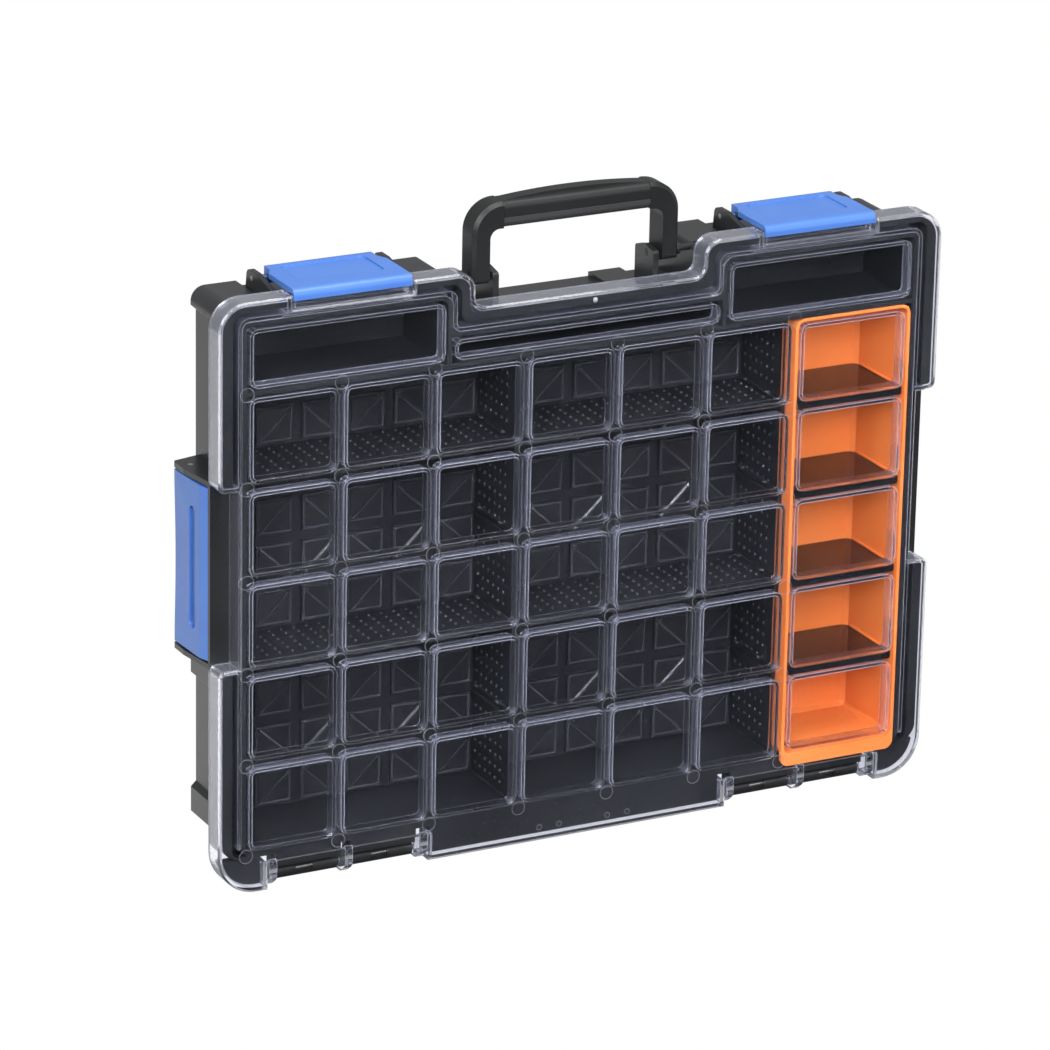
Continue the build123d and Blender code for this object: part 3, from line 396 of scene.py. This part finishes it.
def pip_field(name, span, middle, upright, out):
    """Pips on one face of a plate: upright plates face along X, the others along Z."""
    pitch = PIP_STEP_UPRIGHT if upright else PIP_STEP_LEVEL
    start = span[0] + pitch / 2 + (span[1] - span[0]) % pitch / 2
    count = int((span[1] - span[0]) // pitch)
    face = middle + out * PLATE_HALF
    if upright:
        first = at(face, PIP_FIRST_DEPTH, start)
        half_size = (PIP_RISE, PIP_HALF_WIDTH, PIP_HALF_LENGTH)
        step = (0, 0, pitch)
    else:
        first = at(start, PIP_FIRST_DEPTH, face)
        half_size = (PIP_HALF_WIDTH, PIP_HALF_LENGTH, PIP_RISE)
        step = (pitch, 0, 0)
    repeated(
        name, pip(first, half_size), "case", highlight_lightened_plastic,
        (step, count), ((0, PIP_STEP_DEEP, 0), PIP_ROWS_DEEP), smooth=True,
    )


for height, z in ROW_PLATES.items():
    for side, span in ROW_PLATE_SPANS.items():
        pip_field(f"pips_over_{height}_{side}", span, z, False, 1)
        pip_field(f"pips_under_{height}_{side}", span, z, False, -1)
for side, x in LONG_PLATES.items():
    for part, span in PIP_SPANS.items():
        pip_field(f"pips_left_of_{side}_plate_{part}", span, x, True, -1)
        if side == "left":
            pip_field(f"pips_right_of_{side}_plate_{part}", span, x, True, 1)

# Two small catches at each row line of the long dividers hold the row dividers down.
# They are rounded bumps, moulded on the rails one behind the other.
CATCH_SIZE = (1.5, 1.7, 0.9)   # half the width, the depth and the height
CATCH_DEPTH = 24.4
CATCH_STEP = 25.6
CATCH_OFFSET = 2.9             # from the plate's middle, and above the row line
for side, x in LONG_PLATES.items():
    first = at(x - CATCH_OFFSET, CATCH_DEPTH, LOW_LINE + ROW + CATCH_OFFSET)
    repeated(
        f"rail_catches_{side}", pip(first, CATCH_SIZE), "case",
        highlight_lightened_plastic, ((0, CATCH_STEP, 0), 2), ((0, 0, ROW), ROWS - 1), smooth=True,
    )

# The lift-out bin on the right is one thin-walled moulding of bright orange polypropylene.
# Four black plates drop into its grooves, each with a thicker lip that rests in the bin's rim.
# The bin's satin mould spreads every highlight, so its walls look evenly orange.
LIP_SPAN = (131.6, 197.4)
LIP_HALF = 2.1
LIP_FRONT = 5.2
LIP_BACK = 10.8
LIP_CORNER = 0.6
bin_plastic = moulded(
    "satin_orange_polypropylene", ("#d67033", "#da783b"),
    roughness=0.32, spread=0.05, grain=1.4, bump=0.12,
)
dress(bin_plastic, "accessory_bin")
# The plates have a smoother mould than the tray, so the orange walls mirror in them.
plate_plastic = moulded(
    "smooth_black_polypropylene", ("#131415", "#18191a"),
    roughness=0.14, spread=0.03, grain=0.9, bump=0.1,
)
dress(plate_plastic, *(f"bin_divider_{number}" for number in range(1, ROWS)))


def plate_lip(work):
    """The front lip of the lowest plate."""
    corners = [(x, LOW_LINE + ROW + up * LIP_HALF) for up in (-1, 1) for x in LIP_SPAN[::-up]]
    prism(work, rounded(corners, LIP_CORNER), LIP_FRONT, LIP_BACK)


repeated(
    "bin_plate_lips", plate_lip, "case", plate_plastic,
    ((0, 0, ROW), ROWS - 1), ((1, 0, 0), 1),
)

# The hinge, latch and side latch pins are lengths of drawn steel wire, pressed into the tray.
# The draw lines run along X, as the hinge and latch pins do, so highlights stretch across them.
# Of the upright side latch pins only the ends show.
LINE_WIDTH = 0.3               # real draw lines are far finer; this is as fine as shows
LINE_STRETCH = (0.05, 1.0, 1.0)
STEEL_ROUGHNESS = (0.22, 0.42)
steel_pin, tree, shader = new_material("drawn_steel_wire")
place = add(tree, "ShaderNodeTexCoord").outputs["Object"]
lay = add(tree, "ShaderNodeMapping", {"Scale": LINE_STRETCH}, {"Vector": place})
lines = add(tree, "ShaderNodeTexNoise", {"Scale": 1 / (LINE_WIDTH * MM), "Detail": 2.0}, {
    "Vector": lay.outputs["Vector"],
})
dull = add(tree, "ShaderNodeMapRange", {
    "To Min": STEEL_ROUGHNESS[0], "To Max": STEEL_ROUGHNESS[1],
}, {"Value": lines.outputs["Fac"]})
tree.links.new(dull.outputs["Result"], shader.inputs["Roughness"])
shader.inputs["Base Color"].default_value = linear("#b9b9bb")
shader.inputs["Metallic"].default_value = 1.0
for name in ("hinge_pin", "latch_pin", "side_latch_pin"):
    dress(steel_pin, f"{name}_left", f"{name}_right")

# The lid is one moulding of clear polycarbonate with polished faces and a rib loop over each cell.
# It hooks round the two steel hinge pins at the bottom, and the blue latches hold its top edge.
# Pale blue grey diffuse plastic on its edges and walls is a painted glow and sheen along the ribs.
POLYCARBONATE = 1.585          # index of refraction
WAVE_LENGTH = 30.0             # slow waves that a large moulded sheet keeps from its mould
WAVE_HEIGHT = 0.1
WAVE_STRENGTH = 0.25
SCUFF_LENGTH = 4.0
LID_ROUGHNESS = (0.015, 0.05)
LID_EDGE = 0.7                 # radius of the lid's edges
EDGE_BEND = (0.99, 0.8)        # how a rounded normal leans from the flat one, from flat to edge
EDGE_PAINTED_GLOW = 0.45               # the share of pale diffuse plastic on the lid's edges, a painted glow
RIB_PAINTED_GLOW = 1.8                 # how much stronger ribs glow than the lid's outer edge
RIB_ROOT_DEPTH = 4.6           # down to this depth a rib glows in full
RIB_END_DEPTH = 6.6            # from this depth on only its free end's share is left
FREE_END_SHARE = 0.25
RIGHT_SHARE = 0.2              # how much the right rib of a cell glows, against the left one
LOWER_SHARE = 0.08             # how much the lower rib of a cell glows, against the upper one
CORNER_PAINTED_GLINT = 0.9             # how much the rounded corners of a cell's ribs glow, a painted glint
CELL_BLEND = (0.3, 0.7)        # the part of a cell in which one share turns into the other
CORNER_LEAN = (0.15, 0.4)      # the product of a normal's two leans, from straight to corner
WALL_LEAN = (0.9, 0.3)         # how far a face looks along the depth, from plate to drawn wall
WALL_PAINTED_SHEEN = 0.04               # the share of pale diffuse plastic on the outer walls, a painted sheen
RIB_PAINTED_SHEEN = 0.08                # the same on the ribs' walls
RIB_FIELD_HEIGHT = 150         # the middle of the field of ribs, and half its width and height
RIB_FIELD_HALF = (204, 134)

clear_lid, tree, shader = new_material("polished_clear_polycarbonate")
place = add(tree, "ShaderNodeTexCoord").outputs["Object"]
waves = add(tree, "ShaderNodeTexNoise", {"Scale": 1 / (WAVE_LENGTH * MM), "Detail": 1.0}, {
    "Vector": place,
})
rounding = add(tree, "ShaderNodeBevel", {
    "samples": BEVEL_SAMPLES, "Radius": LID_EDGE * MM,
}).outputs["Normal"]
wavy = add(tree, "ShaderNodeBump", {"Strength": WAVE_STRENGTH, "Distance": WAVE_HEIGHT * MM}, {
    "Height": waves.outputs["Fac"], "Normal": rounding,
})
tree.links.new(wavy.outputs["Normal"], shader.inputs["Normal"])
scuffs = add(tree, "ShaderNodeTexNoise", {"Scale": 1 / (SCUFF_LENGTH * MM), "Detail": 3.0}, {
    "Vector": place,
})
dull = add(tree, "ShaderNodeMapRange", {
    "To Min": LID_ROUGHNESS[0], "To Max": LID_ROUGHNESS[1],
}, {"Value": scuffs.outputs["Fac"]})
tree.links.new(dull.outputs["Result"], shader.inputs["Roughness"])
shader.inputs["Base Color"].default_value = linear("#f5f6fb")
shader.inputs["IOR"].default_value = POLYCARBONATE
shader.inputs["Transmission Weight"].default_value = 1.0
# An edge is where the rounded normal leans away from the flat one.
flat = add(tree, "ShaderNodeNewGeometry").outputs["Normal"]
bend = add(tree, "ShaderNodeVectorMath", {"operation": "DOT_PRODUCT"}, {0: rounding, 1: flat})
edge = add(tree, "ShaderNodeMapRange", {
    "From Min": EDGE_BEND[0], "From Max": EDGE_BEND[1], "To Min": 0.0, "To Max": EDGE_PAINTED_GLOW,
}, {"Value": bend.outputs["Value"]})
# Ribs glow most at their root, where they meet the plate, and little at their free end.
depth = add(tree, "ShaderNodeSeparateXYZ", links={0: place}).outputs["Y"]
root = add(tree, "ShaderNodeMapRange", {
    "From Min": (RIB_ROOT_DEPTH + LID_FACE) * MM, "From Max": (RIB_END_DEPTH + LID_FACE) * MM,
    "To Min": 1.0, "To Max": FREE_END_SHARE,
}, {"Value": depth})
# Within a cell the upper and left ribs get a painted highlight in full; the lower and right ones
# stay dark.
cell = add(tree, "ShaderNodeVectorMath", {
    "operation": "SUBTRACT", 1: at(LEFT_LINE, 0, LOW_LINE),
}, {0: place})
cell = add(tree, "ShaderNodeVectorMath", {
    "operation": "DIVIDE", 1: (COLUMN * MM, 1.0, ROW * MM),
}, {0: cell.outputs[0]})
cell = add(tree, "ShaderNodeVectorMath", {"operation": "FRACTION"}, {0: cell.outputs[0]})
cell = add(tree, "ShaderNodeSeparateXYZ", links={0: cell.outputs[0]}).outputs
across = add(tree, "ShaderNodeMapRange", {
    "From Min": CELL_BLEND[0], "From Max": CELL_BLEND[1], "To Min": 1.0, "To Max": RIGHT_SHARE,
}, {"Value": cell["X"]})
upwards = add(tree, "ShaderNodeMapRange", {
    "From Min": CELL_BLEND[0], "From Max": CELL_BLEND[1], "To Min": LOWER_SHARE, "To Max": 1.0,
}, {"Value": cell["Z"]})
# A rib that faces sideways is an upright one, and one that leans both ways is in a corner.
leaning = add(tree, "ShaderNodeVectorTransform", {
    "vector_type": "NORMAL", "convert_from": "WORLD", "convert_to": "OBJECT",
}, {0: rounding})
leaning = add(tree, "ShaderNodeVectorMath", {"operation": "ABSOLUTE"}, {0: leaning.outputs[0]})
leaning = add(tree, "ShaderNodeSeparateXYZ", links={0: leaning.outputs[0]}).outputs
upright = add(tree, "ShaderNodeMath", {"operation": "GREATER_THAN"}, {
    0: leaning["X"], 1: leaning["Z"],
})
share = add(tree, "ShaderNodeMix", {"data_type": "FLOAT"}, {
    FACTOR: upright.outputs[0],
    NUMBER_A: upwards.outputs["Result"], NUMBER_B: across.outputs["Result"],
})
slanting = add(tree, "ShaderNodeMath", {"operation": "MULTIPLY"}, {
    0: leaning["X"], 1: leaning["Z"],
})
# The rounded corners of the ribs get a painted glint.
corner = add(tree, "ShaderNodeMapRange", {
    "From Min": CORNER_LEAN[0], "From Max": CORNER_LEAN[1], "To Min": 0.0, "To Max": CORNER_PAINTED_GLINT,
}, {"Value": slanting.outputs[0]})
share = add(tree, "ShaderNodeMath", {"operation": "MAXIMUM"}, {
    0: share.outputs[0], 1: corner.outputs["Result"],
})
painted_side_light = add(tree, "ShaderNodeMath", {"operation": "MULTIPLY"}, {
    0: root.outputs["Result"], 1: share.outputs[0],
})
# The walls that the mould draws along get a share of the pale plastic too, a painted sheen.
facing = add(tree, "ShaderNodeTexCoord").outputs["Normal"]
facing = add(tree, "ShaderNodeSeparateXYZ", links={0: facing})
level = add(tree, "ShaderNodeMath", {"operation": "ABSOLUTE"}, {0: facing.outputs["Y"]})
drawn = add(tree, "ShaderNodeMapRange", {
    "From Min": WALL_LEAN[0], "From Max": WALL_LEAN[1], "To Min": 0.0, "To Max": 1.0,
}, {"Value": level.outputs[0]})
outer_wall_painted_sheen = add(tree, "ShaderNodeMath", {"operation": "MULTIPLY", 1: WALL_PAINTED_SHEEN}, {
    0: drawn.outputs["Result"],
})
outer = add(tree, "ShaderNodeMath", {"operation": "MAXIMUM"}, {
    0: edge.outputs["Result"], 1: outer_wall_painted_sheen.outputs[0],
})
rib_wall_painted_sheen = add(tree, "ShaderNodeMath", {"operation": "MULTIPLY", 1: RIB_PAINTED_SHEEN}, {
    0: drawn.outputs["Result"],
})
rib_edge_painted_glow = add(tree, "ShaderNodeMath", {"operation": "MULTIPLY", 1: RIB_PAINTED_GLOW}, {
    0: edge.outputs["Result"],
})
rib = add(tree, "ShaderNodeMath", {"operation": "MAXIMUM"}, {
    0: rib_edge_painted_glow.outputs[0], 1: rib_wall_painted_sheen.outputs[0],
})
rib = add(tree, "ShaderNodeMath", {"operation": "MULTIPLY"}, {
    0: rib.outputs[0], 1: painted_side_light.outputs[0],
})
# Ribs are told from the lid's outer walls by their place in the field of ribs.
inside = add(tree, "ShaderNodeVectorMath", {
    "operation": "SUBTRACT", 1: at(0, 0, RIB_FIELD_HEIGHT),
}, {0: place})
inside = add(tree, "ShaderNodeVectorMath", {
    "operation": "DIVIDE", 1: (RIB_FIELD_HALF[0] * MM, 1.0, RIB_FIELD_HALF[1] * MM),
}, {0: inside.outputs[0]})
inside = add(tree, "ShaderNodeVectorMath", {"operation": "ABSOLUTE"}, {0: inside.outputs[0]})
inside = add(tree, "ShaderNodeSeparateXYZ", links={0: inside.outputs[0]}).outputs
inside = add(tree, "ShaderNodeMath", {"operation": "MAXIMUM"}, {0: inside["X"], 1: inside["Z"]})
inside = add(tree, "ShaderNodeMath", {"operation": "LESS_THAN", 1: 1.0}, {0: inside.outputs[0]})
painted_glow_share = add(tree, "ShaderNodeMix", {"data_type": "FLOAT"}, {
    FACTOR: inside.outputs[0], NUMBER_A: outer.outputs[0], NUMBER_B: rib.outputs[0],
})
# This pale diffuse plastic is the painted glow and sheen; the real sheet is clear throughout.
pale = add(tree, "ShaderNodeBsdfDiffuse", {"Color": linear("#bdc0ce")})
body = add(tree, "ShaderNodeMixShader", links={
    0: painted_glow_share.outputs[0], 1: shader.outputs["BSDF"], 2: pale.outputs["BSDF"],
})
# Light from the lamps passes the clear sheet, as it does through the real lid.
shadow = add(tree, "ShaderNodeLightPath").outputs["Is Shadow Ray"]
passing = add(tree, "ShaderNodeBsdfTransparent", {"Color": linear("#e9eaf0")})
mix = add(tree, "ShaderNodeMixShader", links={
    0: shadow, 1: body.outputs["Shader"], 2: passing.outputs["BSDF"],
})
output = next(node for node in tree.nodes if node.type == "OUTPUT_MATERIAL")
tree.links.new(mix.outputs["Shader"], output.inputs["Surface"])
dress(clear_lid, "lid")

# Ejector pins leave a fine ring on the lid's inner face wherever two rib channels cross.
# Four smaller ones mark the lower band, and the sprue leaves one small nub below the handle.
# Their rougher plastic scatters some light, and their opaque light grey is a painted highlight for
# their glints in the clear sheet.
PLATE_BACK = 2.2               # depth of the lid's inner face
RING_RADIUS = 3.9
RING_BEAD = 0.13
RING_SIDES = 28
SMALL_RING_RADIUS = 1.5
SMALL_RING_SIDES = 18
BAND_RING_PLACES = (-24.5, -12.2, 17.7, 30.1)
BAND_RING_Z = 8.0
NUB_PLACE = (3.3, PLATE_BACK, 308.3)
NUB_SIZE = (1.6, 1.4, 1.6)     # half the width, the depth and the height
ring_painted_highlight_plastic = moulded(
    "ejector_ring_painted_highlight", ("#85868d", "#9a9ba2"),
    roughness=0.25, spread=0.05, grain=0.9, bump=0.1, ior=POLYCARBONATE,
)


def circle(x, z, radius, count):
    """The points of a circle in width and height."""
    turns = [2 * math.pi * i / count for i in range(count)]
    return [(x + radius * math.cos(turn), z + radius * math.sin(turn)) for turn in turns]


def first_ring(work):
    """The ring at the lower left crossing."""
    bead(work, circle(LEFT_LINE, LOW_LINE, RING_RADIUS, RING_SIDES), PLATE_BACK, RING_BEAD)


def band_rings(work):
    """The small rings on the lower band, just inside the lid's front face."""
    for x in BAND_RING_PLACES:
        ring = circle(x, BAND_RING_Z, SMALL_RING_RADIUS, SMALL_RING_SIDES)
        bead(work, ring, RING_BEAD, RING_BEAD)


repeated(
    "ejector_rings", first_ring, "lid", ring_painted_highlight_plastic,
    ((COLUMN, 0, 0), COLUMNS + 1), ((0, 0, ROW), ROWS + 1), smooth=True,
)
for name, build in (("band_rings", band_rings), ("sprue_nub", pip(at(*NUB_PLACE), NUB_SIZE))):
    seat(piece_of(name, build), "lid", ring_painted_highlight_plastic, smooth=True)

# The two top latches are blue polypropylene flaps with a shallow press mark, hooked over the lid.
# The two side latches turn on upright pins; they are the same blue, with a long hollow face.
# A satin mould gives them an even colour with broad, soft highlights.
latch_plastic = moulded(
    "satin_blue_polypropylene", ("#4169b0", "#466fb4"),
    roughness=0.34, spread=0.05, grain=1.2, bump=0.15,
)
dress(latch_plastic, "latch_left", "latch_right", "side_latch_left", "side_latch_right")

# The carrying handle is a black bail with a two-part grip, on two pins beside the lid's notch.
# It is moulded in nylon, duller than the tray; its strip under the fingers is a softer plastic.
handle_plastic = moulded(
    "spark_textured_black_nylon", ("#151617", "#1a1b1c"),
    roughness=0.42, spread=0.06, grain=0.8, bump=0.4, ior=1.53, specular=0.35,
)
dress(handle_plastic, "handle_frame", "handle_grip_upper", "handle_pin_left", "handle_pin_right")
grip_rubber = moulded(
    "matt_soft_touch_rubber", ("#262729", "#2b2c2e"),
    roughness=0.55, spread=0.08, grain=0.7, bump=0.5, ior=1.52,
)
dress(grip_rubber, "handle_grip_lower")

# The set: a plain pale floor, soft lamps and a white surround.
# The camera stands where the photograph was taken from, a little above and to the left.
FLOOR_ROUGHNESS = (0.85, 0.9)
FLOOR_HALF_WIDTH = 1.2         # the set's own lengths are in metres
FLOOR_NEAR = 0.009
FLOOR_FAR = 1.2
FLOOR_HEIGHT = -0.0002         # just under the feet
FLOOR_SPECK = 0.125
floor_paint, tree, shader = new_material("pale_floor_paint")
place = add(tree, "ShaderNodeTexCoord").outputs["Object"]
speck = add(tree, "ShaderNodeTexNoise", {"Scale": 1 / FLOOR_SPECK, "Detail": 1.0}, {
    "Vector": place,
})
tone = add(tree, "ShaderNodeMapRange", {
    "To Min": FLOOR_ROUGHNESS[0], "To Max": FLOOR_ROUGHNESS[1],
}, {"Value": speck.outputs["Fac"]})
tree.links.new(tone.outputs["Result"], shader.inputs["Roughness"])
shader.inputs["Base Color"].default_value = linear("#d8d8d8")


def seen_directly(tree, first_turn):
    """1 for what the eye sees straight on or through clear plastic, 0 after any reflection.

    first_turn lies between the last count of turns that is direct and the next one.
    """
    path = add(tree, "ShaderNodeLightPath").outputs
    turns = add(tree, "ShaderNodeMath", {"operation": "SUBTRACT"}, {
        0: path["Ray Depth"], 1: path["Transmission Depth"],
    })
    seen = add(tree, "ShaderNodeMath", {"operation": "LESS_THAN", 1: first_turn}, {
        0: turns.outputs[0],
    })
    return seen.outputs[0]


glow = add(tree, "ShaderNodeEmission", {"Color": linear("#ffffff"), "Strength": 1.0})
whole = add(tree, "ShaderNodeMixShader", links={
    0: seen_directly(tree, 0.5), 1: shader.outputs["BSDF"], 2: glow.outputs["Emission"],
})
output = next(node for node in tree.nodes if node.type == "OUTPUT_MATERIAL")
tree.links.new(whole.outputs["Shader"], output.inputs["Surface"])


def floor_sheet(work):
    """A level table top. Its edge is under the feet, so the lid can swing down past it."""
    corners = [(x, FLOOR_NEAR) for x in (-FLOOR_HALF_WIDTH, FLOOR_HALF_WIDTH)]
    corners += [(x, FLOOR_FAR) for x in (FLOOR_HALF_WIDTH, -FLOOR_HALF_WIDTH)]
    work.faces.new([work.verts.new((x, y, FLOOR_HEIGHT)) for x, y in corners])


floor = piece_of("floor", floor_sheet)
floor.data.materials.append(floor_paint)

# The room is white behind and above the box and dark low in front, which is what the lid mirrors.
WHITE_SIDE = (0.0, 0.8, 1.0)
ROOM_BLEND = (-0.7, 0.25)      # from here to there along the white side the room turns pale
ROOM_STRENGTH = (0.012, 0.36)
world = bpy.data.worlds.new("white_surround")
scene.world = world
world.use_nodes = True
world.node_tree.nodes.clear()
tree = world.node_tree
way = add(tree, "ShaderNodeVectorMath", {"operation": "DOT_PRODUCT", 1: WHITE_SIDE}, {
    0: add(tree, "ShaderNodeTexCoord").outputs["Generated"],
})
room = add(tree, "ShaderNodeMapRange", {
    "From Min": ROOM_BLEND[0], "From Max": ROOM_BLEND[1],
    "To Min": ROOM_STRENGTH[0], "To Max": ROOM_STRENGTH[1],
}, {"Value": way.outputs["Value"]})
# A world counts one turn more than a surface does.
strength = add(tree, "ShaderNodeMath", {"operation": "MAXIMUM"}, {
    0: room.outputs["Result"], 1: seen_directly(tree, 1.5),
})
sky = add(tree, "ShaderNodeBackground", {"Color": linear("#ffffff")}, {
    "Strength": strength.outputs[0],
})
add(tree, "ShaderNodeOutputWorld", links={"Surface": sky.outputs["Background"]})

AIM = Vector((0.0, 0.0, 0.18))
LAMPS = {                      # place and size in metres, and power in watts
    "softbox_front": ((-0.5, -2.3, 1.5), 0.8, 80.0),
    "softbox_left": ((-1.7, -1.3, 1.3), 1.2, 40.0),
    "softbox_above": ((0.2, -0.5, 2.4), 1.4, 42.0),
    "softbox_right": ((2.0, -1.6, 0.9), 1.2, 20.0),
}
for name, (place, size, power) in LAMPS.items():
    lamp = bpy.data.lights.new(name, "AREA")
    lamp.shape, lamp.size, lamp.energy = "SQUARE", size, power
    holder = bpy.data.objects.new(name, lamp)
    holder.location = place
    holder.rotation_mode = "QUATERNION"
    holder.rotation_quaternion = (AIM - Vector(place)).to_track_quat("-Z", "Y")
    scene.collection.objects.link(holder)

# The camera's place, turn and lens were fitted to the regular grid of rings on the lid.
CAMERA_LENS = 200.409
SENSOR_WIDTH = 36.0
CAMERA_PLACE = (-1.391206, -2.657458, 1.265059)
CAMERA_RIGHT = Vector((0.89178422, -0.45206912, 0.01882588))
CAMERA_UP = Vector((0.13925390, 0.31381488, 0.93921700))
CAMERA_AHEAD = Vector((0.43049885, 0.83495732, -0.34280754))
view = bpy.data.cameras.new("photo_camera")
view.lens = CAMERA_LENS
view.sensor_width = SENSOR_WIDTH
view.clip_end = 100.0
camera = bpy.data.objects.new("photo_camera", view)
turn = Matrix((CAMERA_RIGHT, CAMERA_UP, -CAMERA_AHEAD)).transposed().to_4x4()
camera.matrix_world = Matrix.Translation(CAMERA_PLACE) @ turn
scene.collection.objects.link(camera)
scene.camera = camera
scene.view_settings.view_transform = "Standard"
